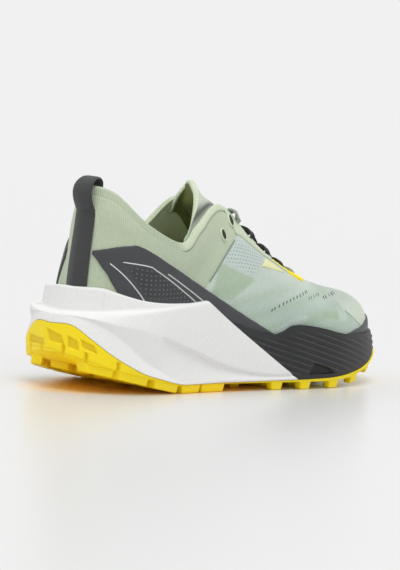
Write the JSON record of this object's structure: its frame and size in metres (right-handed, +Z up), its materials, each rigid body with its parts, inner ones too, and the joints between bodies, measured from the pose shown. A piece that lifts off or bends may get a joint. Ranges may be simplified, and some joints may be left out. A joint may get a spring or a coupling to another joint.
{
  "type": "trail walking shoe",
  "caption": "Low lace-up trail walking shoe for the right foot: knitted upper with padded collar and heel pull loop, sculpted foam midsole and lugged rubber outsole.",
  "frame": {"origin": "middle of the shoe's bounding box at floor level, on the plane of the lug bottoms", "axes": "+X from heel to toe, +Y towards the inner (medial) side, +Z up"},
  "size_m": [0.2998, 0.1064, 0.1256],
  "materials": {
    "yellow_rubber": "matte moulded rubber",
    "white_foam": "matte speckled foam",
    "charcoal_foam": "satin ribbed foam",
    "lining": "brushed textile",
    "sage_knit": "fine ribbed knit",
    "charcoal_film": "satin bonded film",
    "charcoal_rubber": "satin bonded film",
    "sage_trim": "satin bonded film",
    "yellow_trim": "satin bonded film",
    "black_webbing": "woven webbing",
    "lace": "flat woven lace"
  },
  "bodies": {
    "root": {"outsole": "yellow_rubber", "midsole_rear": "white_foam", "midsole_front": "charcoal_foam", "insole": "lining", "upper": "sage_knit", "tongue": "sage_knit", "quarter_panel_lateral": "charcoal_film", "quarter_panel_medial": "charcoal_film", "toe_bumper": "charcoal_rubber", "eyestay_lateral": "sage_trim", "eyestay_medial": "sage_trim", "throat_tab": "yellow_trim", "heel_pull_loop": "black_webbing", "lace": "lace"}
  },
  "joints": []
}
